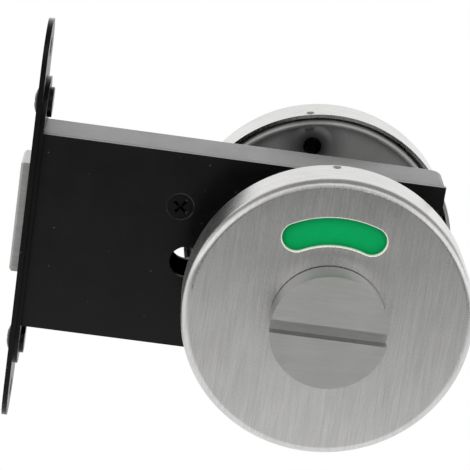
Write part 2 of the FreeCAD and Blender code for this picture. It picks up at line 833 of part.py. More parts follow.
def make_rose(label, side, turned, window):
    """Pressed cup over the mounting plate; side is -1 outside the room and 1 inside."""
    body = new_body(label)
    depth, gauge, bend = size.rose_depth, size.rose_gauge, size.rose_bend
    hole, inside = bush_outside + size.seat_gap, rose_radius - size.rose_gauge
    corners = [(hole, -depth), (rose_radius, -depth), (rose_radius, 0), (inside, 0)]
    corners += [(inside, gauge + bend - depth), (inside - bend, gauge - depth)]
    corners += [(hole, gauge - depth)]
    revolve(body, corners)
    soften(body, "Fillet", bend + gauge, lambda box, edge: ring_edge(box, rose_radius, -depth))
    if window:
        opening = sketch_on(body, "XZ", depth)
        add_arched_slot(opening, window_middle, size.window_width / 2, -size.rose_turn,
                        size.window_half_angle)
        pocket(body, opening, gauge + 1)
        soften(body, "Fillet", size.window_edge,
               lambda box, edge: near(box.YMin, -depth) and near(box.YMax, -depth)
               and edge.CenterOfMass.x ** 2 + edge.CenterOfMass.z ** 2 > 25)
    add_snaps(body, inside, turned)
    if side > 0:
        turn_about(body, FreeCAD.Vector(0, 0, 1), 180)
    place(body, size.backset, side * rim, size.spindle_height)


def add_snaps(body, inside, turned):
    """Three dents pressed in from outside, whose bumps click over the mounting plate."""
    depth = size.snap_depth
    bump, dent = 2 * depth, 2.45 * depth
    rows = (("AdditiveSphere", bump, inside - depth + bump),
            ("SubtractiveSphere", dent, rose_radius - depth + dent))
    features = []
    for kind, radius, reach in rows:
        ball = add_feature(body, kind)
        bind(ball, "Radius", radius)
        place(ball, reach * sine(turned), -size.snap_rim_gap, reach * cosine(turned))
        doc.recompute()
        features.append(ball)
    pattern = add_feature(body, "PolarPattern")
    pattern.Originals = features
    pattern.Axis = (origin_axis(body, "Y"), [""])
    pattern.Angle = 360
    pattern.Occurrences = 3
    body.Tip = pattern
    doc.recompute()


def origin_axis(body, letter):
    role = letter + "_Axis"
    return [feature for feature in body.Origin.OriginFeatures if feature.Role == role][0]


def make_mount_plate(label, side, turned):
    """Dished plate on the door's face, with two screw holes pressed out towards the door."""
    body = new_body(label)
    outside, gauge, bend = plate_radius, size.mount_plate_gauge, size.mount_plate_bend
    depth, bore = size.mount_plate_depth, size.mount_plate_bore / 2
    inside, lip, bulge = outside - gauge, gauge / 3, size.mount_plate_round
    corners = [(bore, -depth), (outside - bend, -depth), (outside, bend - depth)]
    corners += [(outside, -bulge), (outside - bulge * 0.3, -bulge * 0.3), (outside - bulge, 0)]
    corners += [(inside + lip, 0), (inside, -lip), (inside, gauge - depth), (bore, gauge - depth)]
    revolve(body, corners)
    reach, mouth = outside - size.mount_screw_inset, size.mount_screw_mouth / 2
    hole, rise = size.mount_screw_diameter / 2, depth - gauge
    foot, middle = hole + gauge + size.mount_screw_slope, -rise - gauge / 2
    x, z = reach * sine(turned), reach * cosine(turned)
    cone = sketch_on(body, "XY", z, x)
    add_polygon(cone, [(0, middle), (foot, middle), (foot, -rise), (hole + gauge, 0), (0, 0)])
    pressed = revolve(body, None, sketch=cone)
    bowl = sketch_on(body, "XY", z, x)
    add_polygon(bowl, [(0, -depth - 1), (mouth + 0.01, -depth - 1), (mouth, -depth),
                       (hole, mouth - hole - depth), (hole, 1), (0, 1)])
    cut = revolve(body, None, cut=True, sketch=bowl)
    pattern = add_feature(body, "PolarPattern")
    pattern.Originals = [pressed, cut]
    pattern.Axis = (origin_axis(body, "Y"), [""])
    pattern.Angle = 360
    pattern.Occurrences = 2
    body.Tip = pattern
    doc.recompute()
    if side > 0:
        turn_about(body, FreeCAD.Vector(0, 0, 1), 180)
    place(body, size.backset, side * rim, size.spindle_height)


def make_bush(label, side):
    """Flanged bush in the rose: the turn's neck runs in it, its flange under the turn."""
    body = new_body(label)
    flange = size.turn_diameter / 2 - 2 * size.slide_gap
    collar, bore = bush_outside, neck_radius + size.running_gap
    end = size.bush_length - size.bush_flange
    corners = [(bore, -size.bush_flange), (flange, -size.bush_flange), (flange, 0), (collar, 0)]
    corners += [(collar, end), (bore, end)]
    revolve(body, corners)
    if side > 0:
        turn_about(body, FreeCAD.Vector(0, 0, 1), 180)
    place(body, size.backset, side * (rim + size.rose_depth), size.spindle_height)


def neck_corners(groove, shaft):
    """Profile of a turn's neck, with a groove for the retaining ring."""
    groove_end = groove + size.ring_gauge + 2 * size.float_gap
    corners = [(shaft, groove), (groove_radius, groove), (groove_radius, groove_end)]
    return corners + [(shaft, groove_end), (shaft, neck_length), (0, neck_length)]


def make_coin_turn():
    """Turned disc with a coin slot, and a neck stepped for the indicator disc."""
    body = new_body("coin_turn")
    radius, height, edge = size.turn_diameter / 2, size.coin_turn_height, size.turn_edge
    corners = [(0, -height), (radius - edge, -height), (radius, edge - height), (radius, 0)]
    corners += [(neck_radius, 0), (neck_radius, shoulder), (seat_radius, shoulder)]
    groove = shoulder + size.indicator_gauge + size.float_gap
    corners += neck_corners(groove, seat_radius)
    revolve(body, corners)
    slot = sketch_on(body, "XZ", height)
    half = size.coin_slot_width / 2
    add_rectangle(slot, -radius - 1, -half, radius + 1, half)
    pocket(body, slot, size.coin_slot_depth)
    flat = sketch_on(body, "XZ", -shoulder)
    add_rectangle(flat, -neck_radius, size.seat_flat, neck_radius, neck_radius + 1)
    pocket(body, flat, neck_length - shoulder + 1)
    socket = add_square(body, -neck_length, size.spindle_square + 2 * size.running_gap)
    pocket(body, socket, neck_length + size.coin_bite, back=True)
    place(body, size.backset, -turn_foot, size.spindle_height)


def make_retaining_ring(label, side, groove):
    body = new_body(label)
    ring = sketch_on(body, "XZ", side * (groove + size.float_gap))
    add_sector(ring, ring_inside, ring_outside, 0, size.ring_half_angle)
    pad(body, ring, size.ring_gauge, back=side < 0)
    place(body, size.backset, side * turn_foot, size.spindle_height)


def make_outer_ring():
    groove = shoulder + size.indicator_gauge + size.float_gap
    make_retaining_ring("outer_retaining_ring", -1, groove)


def make_inner_ring():
    make_retaining_ring("inner_retaining_ring", 1, shoulder)


def make_indicator_disc():
    """Disc behind the window, held from turning on the neck by the flat of its hole."""
    body = new_body("indicator_disc")
    disc = sketch_on(body, "XZ")
    add_circle(disc, 0, 0, indicator_radius)
    add_circle(disc, 0, 0, seat_radius + size.seat_gap)
    pad(body, disc, size.indicator_gauge, back=True)
    flat = sketch_on(body, "XZ")
    add_rectangle(flat, -seat_radius, size.seat_flat + size.seat_gap, seat_radius, neck_radius + 1)
    pad(body, flat, size.indicator_gauge, back=True)
    place(body, size.backset, shoulder - turn_foot, size.spindle_height)


def make_field(label, middle):
    """Coloured field on the indicator disc, wider than the window."""
    body = new_body(label)
    field = sketch_on(body, "XZ")
    add_sector(field, window_middle - field_reach, window_middle + field_reach, middle,
               size.field_half_angle)
    pad(body, field, size.field_gauge)
    place(body, size.backset, shoulder - turn_foot, size.spindle_height)


def make_thumb_turn():
    """Round knob with a scoop cut from each side, which leaves a grip across the middle."""
    body = new_body("thumb_turn")
    radius, height, base = size.turn_diameter / 2, size.thumb_turn_height, size.thumb_base_height
    corners = [(0, -height), (radius, -height), (radius, 0), (neck_radius, 0)]
    corners += [(neck_radius, shoulder)] + neck_corners(shoulder, neck_radius)[1:]
    revolve(body, corners)
    scoop, grip = size.thumb_scoop, size.thumb_grip / 2
    round_part = sketch_on(body, "YZ")
    flat_part = sketch_on(body, "YZ")
    for side in (-1, 1):
        add_circle(round_part, -base - scoop, side * (grip + scoop), scoop)
        low, high = sorted((side * grip, side * (radius + 1)), key=lambda value: value.number)
        add_rectangle(flat_part, -height - 1, low, -base - scoop, high)
    pocket(body, round_part)
    pocket(body, flat_part)
    soften(body, "Fillet", size.thumb_round,
           lambda box, edge: near(box.YMin, -height) and near(box.YMax, -height))
    socket = add_square(body, -neck_length, size.spindle_square + 2 * size.running_gap)
    pocket(body, socket, neck_length + size.thumb_bite, back=True)
    grub = sketch_on(body, "XY")
    add_circle(grub, 0, -base / 2, size.grub_diameter / 2 + size.running_gap)
    pocket(body, grub, radius + 1, back=False)
    turn_about(body, FreeCAD.Vector(0, 0, 1), 180)
    place(body, size.backset, turn_foot, size.spindle_height)


def make_grub_screw():
    """Screw with a hexagon socket that holds the thumb turn on the spindle."""
    body = new_body("grub_screw")
    radius, length = size.grub_diameter / 2, size.grub_length
    point = radius / 2
    corners = [(0, 0), (point, 0), (radius, point), (radius, length), (0, length)]
    revolve(body, corners)
    socket = sketch_on(body, "XZ", -length)
    reach = size.grub_key / 2 / cosine(30)
    add_polygon(socket, [(reach * sine(60 * turn), reach * cosine(60 * turn)) for turn in range(6)])
    pocket(body, socket, size.grub_key, back=True)
    turn_about(body, FreeCAD.Vector(1, 0, 0), -90)
    start = size.spindle_square / 2 + size.running_gap
    place(body, size.backset, turn_foot + size.thumb_base_height / 2, size.spindle_height - start)


def make_roses():
    make_rose("outer_rose", -1, -size.rose_turn, True)
    make_rose("inner_rose", 1, size.mount_plate_turn, False)
    make_mount_plate("outer_mount_plate", -1, -size.mount_plate_turn)
    make_mount_plate("inner_mount_plate", 1, size.mount_plate_turn)
    make_bush("outer_bush", -1)
    make_bush("inner_bush", 1)


def make_fields():
    make_field("unlocked_field", -size.rose_turn)
    make_field("locked_field", 90 - size.rose_turn)


MAKERS = [
    make_faceplate, make_inner_forend, make_faceplate_screws, make_forend_nuts,
    make_case_body, make_case_cover, make_cover_post, make_cover_screw, make_spring_post, make_detent_spring,
    make_bolt_head, make_bolt_tail, make_bolt_rivets, make_follower, make_spindle,
    make_roses, make_coin_turn, make_outer_ring, make_indicator_disc, make_fields,
    make_thumb_turn, make_inner_ring, make_grub_screw,
]


def check_and_export():
    doc.recompute()
    for item in doc.Objects:
        if "Invalid" in item.State or "Error" in item.State:
            raise RuntimeError("%s failed: %s" % (item.Label, item.State))
    for label, item in nodes.items():
        shape = item.Shape
        if shape.isNull() or not shape.isValid():
            raise RuntimeError(label + " has no valid shape")
    os.makedirs("parts", exist_ok=True)
    for label, item in nodes.items():
        item.Shape.exportStep("parts/%s.step" % label)
        print("%-22s %10.1f mm3  %d solid" % (label, item.Shape.Volume, len(item.Shape.Solids)))


for maker in MAKERS:
    maker()
check_and_export()
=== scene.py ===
import json
from math import pi, radians

import bmesh
import bpy
from bpy.props import FloatProperty, FloatVectorProperty, PointerProperty
from bpy.types import Operator, Panel, PropertyGroup
from mathutils import Matrix, Vector


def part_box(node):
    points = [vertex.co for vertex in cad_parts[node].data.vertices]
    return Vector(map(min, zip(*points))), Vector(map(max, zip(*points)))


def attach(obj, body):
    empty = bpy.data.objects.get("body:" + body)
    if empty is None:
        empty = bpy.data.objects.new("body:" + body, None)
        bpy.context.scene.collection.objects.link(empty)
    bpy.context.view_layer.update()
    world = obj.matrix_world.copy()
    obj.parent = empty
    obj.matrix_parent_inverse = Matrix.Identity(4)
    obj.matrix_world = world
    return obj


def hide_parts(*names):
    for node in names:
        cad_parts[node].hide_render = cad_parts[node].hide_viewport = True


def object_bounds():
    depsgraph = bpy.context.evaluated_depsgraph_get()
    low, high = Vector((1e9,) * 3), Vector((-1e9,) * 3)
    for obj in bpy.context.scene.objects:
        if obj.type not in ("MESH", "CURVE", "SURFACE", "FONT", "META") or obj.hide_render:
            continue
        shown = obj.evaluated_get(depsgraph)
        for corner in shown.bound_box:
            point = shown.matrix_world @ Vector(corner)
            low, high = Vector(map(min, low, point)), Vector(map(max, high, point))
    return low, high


bl_info = {
    "name": "Thumb Turn Lock Finish",
    "version": (1, 0, 0),
    "blender": (4, 5, 0),
    "location": "View3D > Sidebar > Lock",
    "description": "Surfaces of a mortice bathroom lock: black case, brushed roses and enamel indicator",
    "category": "Object",
}

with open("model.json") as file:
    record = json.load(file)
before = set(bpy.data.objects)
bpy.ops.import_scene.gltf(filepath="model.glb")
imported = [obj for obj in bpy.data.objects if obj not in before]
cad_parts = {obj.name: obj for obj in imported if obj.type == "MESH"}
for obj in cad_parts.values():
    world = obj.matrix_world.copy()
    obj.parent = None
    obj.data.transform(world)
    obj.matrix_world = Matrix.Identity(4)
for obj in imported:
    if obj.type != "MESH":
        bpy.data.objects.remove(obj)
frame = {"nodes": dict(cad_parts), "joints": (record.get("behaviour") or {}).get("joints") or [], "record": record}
NODES = frame["nodes"]
BODIES = frame["record"]["behaviour"]["bodies"]
BODY_OF = {node: body for body, members in BODIES.items() for node in members}
SPINDLE = next(joint for joint in frame["joints"] if joint["name"] == "turn_spin")["pos_m"]
CAD_BOX = [list(corner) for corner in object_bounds()]

MM = 0.001

# Points nearer than this are one, and edges under these angles are shaded smooth
MERGE = 0.001 * MM
SOFT = radians(32)
SOFT_PRESSING = radians(60)

# Places along a row are compared to this many decimals of a metre
DECIMALS = 5

# Brush lines: length against width, streaks against fine lines, and how they run on walls
LINE_SHARE = 0.045
STREAK_SHARE = 0.3
WALL_STRETCH = 0.0012
ANISOTROPY = 0.7
LINE_RANGE = (0.25, 0.75)
LINE_ROUGHNESS = (-0.05, 0.08)
LINE_STRENGTH = 0.6

# Scales of the noises, and the part of their range that the finishes use
CLOUD_SCALE = 110.0
MOTTLE_SCALE = 140.0
ENAMEL_SCALE = 300.0
RING_BREAK_SCALE = 420.0
NICK_SCALE = 2600.0
GRAIN_SCALE = 5200.0
NOISE_RANGE = (0.3, 0.7)
RING_BREAK_RANGE = (0.4, 0.6)

# How far those noises darken and lighten a finish
CLOUDS = (0.96, 1.04)
MOTTLE = (0.75, 1.3)
MOTTLE_ROUGHNESS = 0.05
NICKS = (0.85, 1.08)
RING_BREAKS = (0.2, 1)

# The coating's grain, and the upward part of the normal at which its soft light sets in
GRAIN_STRENGTH = 0.25
GRAIN_DEPTH = 0.01 * MM
LEVEL_RANGE = (0.85, 0.98)
SHEEN_ROUGHNESS = 0.3

# Specks of dust and a painted highlight line on the coating, as multiples of its colour, and where the line runs
DUST_BRIGHTNESS = 55.0
PAINTED_RING_BRIGHTNESS = 40.0
RING_WIDTH = 0.14 * MM
RING_GAP = 0.12 * MM

# Parts of the normal from which a surface counts as flat, and as the rose's face
FLAT_NORMAL = 0.7
FACE_NORMAL = 0.98

# Where the window's edge lies in the rose, and how far in the coin turn's side reaches
WINDOW_DEPTH = 0.9 * MM
RIM_MARGIN = 4 * MM
SIDE_MARGIN = 0.5 * MM

# The cross recess, and how far the cover's screw is turned
RECESS_MIDDLE = 0.7 * MM
RECESS_REACH = 1.9 * MM
RECESS_OPENING = 0.25
SCREW_TURN = radians(38)

# Painted shade on a mounting plate round its upper screw seat: how dark it gets there, and over what distance it
# fades
PAINTED_SHADE_SHARE = 0.1
PAINTED_SHADE_RANGE = (2.2 * MM, 8.5 * MM)

# Depth of a mounting plate's web, and how much of it the screw seats fill
WEB_DEPTH = 2.6 * MM
DIMPLE_SHARE = 0.15

# The cover's edge, and how far it stays inside the case's sides
COVER_EDGE = 1.2 * MM
HAIRLINE = 0.02 * MM

# Brightness round the lock: what reflections show, and the plain light on dull surfaces
BEHIND = 1.25
OVERHEAD = 0.3
FRONT_MIDDLE = 0.25
FRONT_SIDES = 1.3
FRONT_SOFTBOX = 1.0
PLAIN_BEHIND = 1.9
PLAIN_LIGHT = 0.85

# Angles from the horizon behind the lock at which they meet, and sideways parts of the view
BACKDROP_TOP = (radians(42), radians(60))
SOFTBOX_TOP = (radians(116), radians(126))
SOFTBOX_FOOT = (radians(146), radians(156))
SIDE_RANGE = (0.12, 0.4)

# The floor: its reach and colour, and where along Y its reflection fades, down to what share
FLOOR_REACH = 3.0
FLOOR_WHITE = 0.86
FLOOR_ROUGHNESS = 0.8
FLOOR_FADE = (-1.2, -0.36)
FLOOR_DIM = 0.1

# The lamp over the camera's left shoulder, in metres and watts
LAMP_PLACE = (-0.15, -0.55, 0.5)
LAMP_TARGET = (0.05, 0, 0)
LAMP_SIZE = (0.5, 0.4)
LAMP_POWER = 2.5

# The camera's sensor in millimetres, and the distances that it shows
SENSOR_WIDTH = 36
CLIP = (0.01, 20)


# Settings


def colour(name, description, default):
    return FloatVectorProperty(name=name, description=description, default=default, size=3,
                               min=0, max=1, subtype="COLOR")


def number(name, description, default):
    return FloatProperty(name=name, description=description, default=default, min=0, max=1)


def length(name, description, default):
    return FloatProperty(name=name, description=description, default=default, min=0,
                         unit="LENGTH", precision=5)


def angle(name, description, default):
    return FloatProperty(name=name, description=description, default=radians(default),
                         unit="ROTATION")


class LockFinishes(PropertyGroup):
    steel: colour("Steel", "Colour of the brushed roses", (0.62, 0.615, 0.605))
    steel_roughness: number("Steel Roughness", "Roughness of the brushed steel", 0.27)
    turn: colour("Turn", "Colour of the coin turn and the thumb turn", (0.55, 0.548, 0.54))
    turn_roughness: number("Turn Roughness", "Roughness of the two turns", 0.3)
    mount: colour("Mounting Plate", "Colour of the plates inside the roses", (0.36, 0.36, 0.355))
    # Painted highlight: the window's cut edge is coloured near white for the light it catches
    window_edge_highlight: colour("Cut Edge", "Colour of the bare edge round the window", (0.93, 0.90, 0.82))
    bolt: colour("Bolt", "Colour of the plated bolt", (0.50, 0.498, 0.488))
    plate: colour("Zinc", "Colour of the zinc plated inner works", (0.50, 0.50, 0.51))
    spring: colour("Spring", "Colour of the tempered spring and rings", (0.16, 0.16, 0.18))
    black: colour("Black", "Colour of the black coating", (0.0014, 0.0014, 0.0015))
    black_roughness: number("Black Roughness", "Roughness of the black coating", 0.31)
    black_sheen: number("Black Sheen", "Soft light on the coating at a low angle", 1.0)
    green: colour("Unlocked", "Enamel of the unlocked field", (0.002, 0.315, 0.09))
    red: colour("Locked", "Enamel of the locked field", (0.52, 0.02, 0.02))
    bush: colour("Bush", "Colour of the moulded bushes", (0.02, 0.02, 0.022))


class LockShape(PropertyGroup):
    coin_foot: length("Coin Foot", "Radius of the coin turn at its foot", 12.85 * MM)
    coin_face: length("Coin Face", "Radius of the coin turn's face", 13.09 * MM)


class LockStage(PropertyGroup):
    camera_x: length("Camera X", "Camera's place along the door", 21.36 * MM)
    camera_y: FloatProperty(name="Camera Y", description="Camera's place in front of the lock",
                            default=-471.12 * MM, unit="LENGTH", precision=5)
    camera_z: length("Camera Z", "Camera's height", 165.05 * MM)
    yaw: angle("Yaw", "Camera's turn away from the spindle", 3.326)
    pitch: angle("Pitch", "Camera's tilt above the horizon", -18.924)
    roll: angle("Roll", "Camera's roll", 8.635)
    lens: FloatProperty(name="Lens", description="Focal length in millimetres", default=164.08)
    floor_drop: length("Floor Drop", "Depth of the floor below the lock", 250 * MM)


# Meshes


def link(piece):
    bpy.context.scene.collection.objects.link(piece)
    return piece


def weighted(piece):
    """Even shading where a large face meets small ones."""
    weights = piece.modifiers.new("Face Weights", "WEIGHTED_NORMAL")
    weights.keep_sharp = True
    return piece


def merged(node):
    """A node's mesh with its doubles merged, as a mesh to work on."""
    work = bmesh.new()
    work.from_mesh(NODES[node].data)
    bmesh.ops.remove_doubles(work, verts=work.verts, dist=MERGE)
    bmesh.ops.dissolve_degenerate(work, edges=work.edges, dist=MERGE)
    return work


def finished(work, node, limit=SOFT):
    """Object of a worked mesh, smooth apart from its corners."""
    for face in work.faces:
        face.smooth = True
    for edge in work.edges:
        edge.smooth = edge.is_manifold and edge.calc_face_angle(pi) < limit
    mesh = bpy.data.meshes.new(node + "_finish")
    work.to_mesh(mesh)
    work.free()
    return weighted(link(bpy.data.objects.new(mesh.name, mesh)))


def settle(piece, node, material):
    """Give a piece its material and its body, and hide the node that it stands for."""
    piece.data.materials.clear()
    piece.data.materials.append(material)
    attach(piece, BODY_OF[node])
    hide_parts(node)
    return piece


def dress(nodes, material):
    for node in nodes:
        settle(finished(merged(node), node), node, material)


def halfway(low, high):
    return Vector([(a + b) / 2 for a, b in zip(low, high)])


def middle(points):
    """Centre of the box round some points."""
    low = [min(point.co[axis] for point in points) for axis in range(3)]
    high = [max(point.co[axis] for point in points) for axis in range(3)]
    return halfway(low, high)


def off_axis(point, axis=SPINDLE):
    """A point's distance from an axis across the door, or else from the spindle's."""
    return ((point[0] - axis[0]) ** 2 + (point[2] - axis[2]) ** 2) ** 0.5


# Repeated pieces, by Geometry Nodes


def build_row():
    """Copies of one piece along a line, from its first place, step and count."""
    tree = bpy.data.node_groups.new("Row of Pieces", "GeometryNodeTree")
    for label, kind in (("Piece", "Geometry"), ("Count", "Int"), ("First", "Vector"),
                        ("Step", "Vector"), ("Finish", "Material")):
        tree.interface.new_socket(label, in_out="INPUT", socket_type="NodeSocket" + kind)
    tree.interface.new_socket("Pieces", in_out="OUTPUT", socket_type="NodeSocketGeometry")
    given = tree.nodes.new("NodeGroupInput").outputs
    line = add(tree, "GeometryNodeMeshLine", {"Count": given["Count"], "Offset": given["Step"],
                                              "Start Location": given["First"]})
    copies = add(tree, "GeometryNodeInstanceOnPoints", {"Points": line.outputs[0],
                                                        "Instance": given["Piece"]})
    real = add(tree, "GeometryNodeRealizeInstances", {0: copies.outputs[0]})
    dressed = add(tree, "GeometryNodeSetMaterial", {"Geometry": real.outputs[0],
                                                    "Material": given["Finish"]})
    add(tree, "NodeGroupOutput", {0: dressed.outputs[0]})
    return tree


def solids_of(work):
    """Groups of joined points, from the lowest along X and Z."""
    left, groups = set(work.verts), []
    while left:
        reached, front = set(), [next(iter(left))]
        while front:
            point = front.pop()
            if point not in reached:
                reached.add(point)
                front.extend(edge.other_vert(point) for edge in point.link_edges)
        left -= reached
        groups.append(reached)
    return sorted(groups, key=lambda group: [round(part, DECIMALS) for part in middle(group)])


def repeat(node, material):
    """One of a node's like solids, repeated at the places of them all."""
    work = merged(node)
    groups = solids_of(work)
    places = [middle(group) for group in groups]
    extra = [point for group in groups[1:] for point in group]
    bmesh.ops.delete(work, geom=extra, context="VERTS")
    bmesh.ops.translate(work, verts=work.verts, vec=-places[0])
    single = finished(work, node)
    single.modifiers.clear()
    tree = bpy.data.node_groups.get("Row of Pieces") or build_row()
    row = single.modifiers.new("Row", "NODES")
    row.node_group = tree
    values = {"Count": len(places), "First": places[0], "Step": places[1] - places[0],
              "Finish": material}
    for item in tree.interface.items_tree:
        if item.in_out == "INPUT" and item.name in values:
            row[item.identifier] = values[item.name]
    seen = single.evaluated_get(bpy.context.evaluated_depsgraph_get())
    mesh = bpy.data.meshes.new_from_object(seen)
    mesh.name = node + "_row"
    bpy.data.objects.remove(single)
    return settle(weighted(link(bpy.data.objects.new(mesh.name, mesh))), node, material)


# Shader nodes


def give(tree, sockets, values):
    """Set the named sockets, or link them where the value is a socket."""
    for name, value in values.items():
        if isinstance(value, bpy.types.NodeSocket):
            tree.links.new(value, sockets[name])
        else:
            sockets[name].default_value = value


def add(tree, kind, inputs=None, **settings):
    """Add a node, set it up, and give its inputs values or links."""
    node = tree.nodes.new(kind)
    for name, value in settings.items():
        setattr(node, name, value)
    give(tree, node.inputs, inputs or {})
    return node


def maths(tree, operation, *values):
    return add(tree, "ShaderNodeMath", dict(enumerate(values)), operation=operation).outputs[0]


def vector_maths(tree, operation, *values):
    node = add(tree, "ShaderNodeVectorMath", dict(enumerate(values)), operation=operation)
    return node.outputs["Vector"]


def parts_of(tree, vector):
    return add(tree, "ShaderNodeSeparateXYZ", {0: vector}).outputs


def combined(tree, *parts):
    return add(tree, "ShaderNodeCombineXYZ", dict(enumerate(parts))).outputs[0]


def spread(tree, value, low, high, to_low, to_high):
    node = add(tree, "ShaderNodeMapRange", {0: value, 1: low, 2: high, 3: to_low, 4: to_high})
    return node.outputs[0]


def blended(tree, share, low, high):
    return add(tree, "ShaderNodeMix", {0: share, 2: low, 3: high}).outputs[0]


def noise(tree, vector, scale, detail=2.0, roughness=0.5):
    inputs = {"Vector": vector, "Scale": scale, "Detail": detail, "Roughness": roughness}
    return add(tree, "ShaderNodeTexNoise", inputs).outputs[0]


def relief(tree, height, strength, depth):
    """Normals of a surface with fine relief."""
    inputs = {"Height": height, "Strength": strength, "Distance": depth}
    return add(tree, "ShaderNodeBump", inputs).outputs[0]


def tint(tree, shade, base):
    """A colour made lighter or darker by a value round one."""
    return vector_maths(tree, "MULTIPLY", tuple(base), combined(tree, shade, shade, shade))


def normal_parts(tree):
    return parts_of(tree, add(tree, "ShaderNodeNewGeometry").outputs["Normal"])


def flat_mask(tree):
    """One where the surface lies along the door's face, and nought on walls round it."""
    facing = maths(tree, "ABSOLUTE", normal_parts(tree)[1])
    return maths(tree, "GREATER_THAN", facing, FLAT_NORMAL)


def distance_on_face(tree, place, centre):
    """Distance from a centre, across the door's face."""
    offset = vector_maths(tree, "MULTIPLY", vector_maths(tree, "SUBTRACT", place, centre), (1, 0, 1))
    return add(tree, "ShaderNodeVectorMath", {0: offset}, operation="LENGTH").outputs["Value"]


def new_group(name, inputs, outputs):
    """Empty shader node group with named sockets: its tree, what it is given and what it gives."""
    tree = bpy.data.node_groups.new(name, "ShaderNodeTree")
    for label, kind, default in inputs:
        socket = tree.interface.new_socket(label, in_out="INPUT", socket_type="NodeSocket" + kind)
        socket.default_value = default
    for label in outputs:
        tree.interface.new_socket(label, in_out="OUTPUT", socket_type="NodeSocketFloat")
    return tree, tree.nodes.new("NodeGroupInput").outputs, tree.nodes.new("NodeGroupOutput").inputs


def use_group(tree, name, inputs):
    return add(tree, "ShaderNodeGroup", inputs, node_tree=bpy.data.node_groups[name]).outputs


def build_brushing():
    """Fine lines of brushed metal: straight on the flats, round the axis on the walls."""
    sockets = [("Vector", "Vector", (0, 0, 0)), ("Flat", "Float", 1.0),
               ("Stretch", "Vector", (1, 1, 0.05)), ("Fineness", "Float", 7000.0)]
    tree, given, out = new_group("Brushing", sockets, ["Lines", "Streaks"])
    centred = vector_maths(tree, "SUBTRACT", given["Vector"], SPINDLE)
    straight = vector_maths(tree, "MULTIPLY", centred, given["Stretch"])
    across, along, up = parts_of(tree, centred)
    turn = maths(tree, "ARCTAN2", up, across)
    around = combined(tree, maths(tree, "MULTIPLY", turn, WALL_STRETCH), along)
    broad = maths(tree, "MULTIPLY", given["Fineness"], STREAK_SHARE)
    fine = [noise(tree, vector, given["Fineness"], 3.0, 0.65) for vector in (around, straight)]
    wide = [noise(tree, vector, broad, 3.0, 0.6) for vector in (around, straight)]
    give(tree, out, {"Lines": blended(tree, given["Flat"], *fine),
                     "Streaks": blended(tree, given["Flat"], *wide)})


def build_specks():
    """Sparse specks of dust on a face along the door, as a mask."""
    sockets = [("Vector", "Vector", (0, 0, 0)), ("Scale", "Float", 300.0),
               ("Amount", "Float", 0.13), ("Size", "Float", 0.045)]
    tree, given, out = new_group("Specks", sockets, ["Mask"])
    parts = parts_of(tree, given["Vector"])
    cells = add(tree, "ShaderNodeTexVoronoi", {"Vector": combined(tree, parts[0], parts[2]),
                                               "Scale": given["Scale"]},
                voronoi_dimensions="2D").outputs
    pick = add(tree, "ShaderNodeSeparateColor", {0: cells["Color"]}).outputs[0]
    chosen = maths(tree, "LESS_THAN", pick, given["Amount"])
    near = maths(tree, "LESS_THAN", cells["Distance"], given["Size"])
    strength = maths(tree, "DIVIDE", pick, given["Amount"])
    mask = maths(tree, "MULTIPLY", maths(tree, "MULTIPLY", chosen, near), strength)
    give(tree, out, {"Mask": mask})


# Finishes


def new_material(name):
    """Empty material: itself, its tree, its surface's sockets and the place in the object."""
    material = bpy.data.materials.new(name)
    material.use_nodes = True
    tree = material.node_tree
    tree.nodes.clear()
    surface = add(tree, "ShaderNodeBsdfPrincipled")
    add(tree, "ShaderNodeOutputMaterial", {0: surface.outputs[0]})
    place = add(tree, "ShaderNodeTexCoord").outputs["Object"]
    return material, tree, surface.inputs, place


def brushed_metal(name, base, roughness, stretch, depth=0.006 * MM, contrast=0.09, on_flats=0.0,
                  metal=1.0, painted_shade_at=None):
    """Brushed metal, rougher on its flats, with painted shade darkening it round one place where that is given."""
    material, tree, surface, place = new_material(name)
    flat = flat_mask(tree)
    lines = use_group(tree, "Brushing", {"Vector": place, "Flat": flat, "Stretch": stretch})
    across = (stretch[2] < 1, 0, stretch[0] < 1)
    direction = add(tree, "ShaderNodeMix", {0: flat, 4: (0, 1, 0), 5: across}, data_type="VECTOR")
    tangent = add(tree, "ShaderNodeVectorTransform", {0: direction.outputs[1]},
                  vector_type="VECTOR", convert_from="OBJECT", convert_to="WORLD")
    streaks = spread(tree, lines["Streaks"], *NOISE_RANGE, 1 - contrast, 1 + contrast)
    clouds = spread(tree, noise(tree, place, CLOUD_SCALE, 3.0), *NOISE_RANGE, *CLOUDS)
    shade = maths(tree, "MULTIPLY", streaks, clouds)
    # Painted shade: the colour darkens towards the given place
    if painted_shade_at is not None:
        near = distance_on_face(tree, place, painted_shade_at)
        shade = maths(tree, "MULTIPLY", shade, spread(tree, near, *PAINTED_SHADE_RANGE, PAINTED_SHADE_SHARE, 1.0))
    rough = spread(tree, lines["Lines"], *LINE_RANGE, *(roughness + part for part in LINE_ROUGHNESS))
    rough = maths(tree, "ADD", rough, maths(tree, "MULTIPLY", flat, on_flats))
    give(tree, surface, {"Base Color": tint(tree, shade, base), "Metallic": metal,
                         "Roughness": rough, "Anisotropic": ANISOTROPY,
                         "Tangent": tangent.outputs[0],
                         "Normal": relief(tree, lines["Lines"], LINE_STRENGTH, depth)})
    return material


def painted_highlight_ring(tree, place, centre, radius):
    """Thin painted highlight round a screw's head, broken here and there."""
    reach = distance_on_face(tree, place, centre)
    gap = maths(tree, "ABSOLUTE", maths(tree, "SUBTRACT", reach, radius))
    line = spread(tree, gap, 0.0, RING_WIDTH, 1, 0)
    breaks = spread(tree, noise(tree, place, RING_BREAK_SCALE), *RING_BREAK_RANGE, *RING_BREAKS)
    return maths(tree, "MULTIPLY", line, breaks)


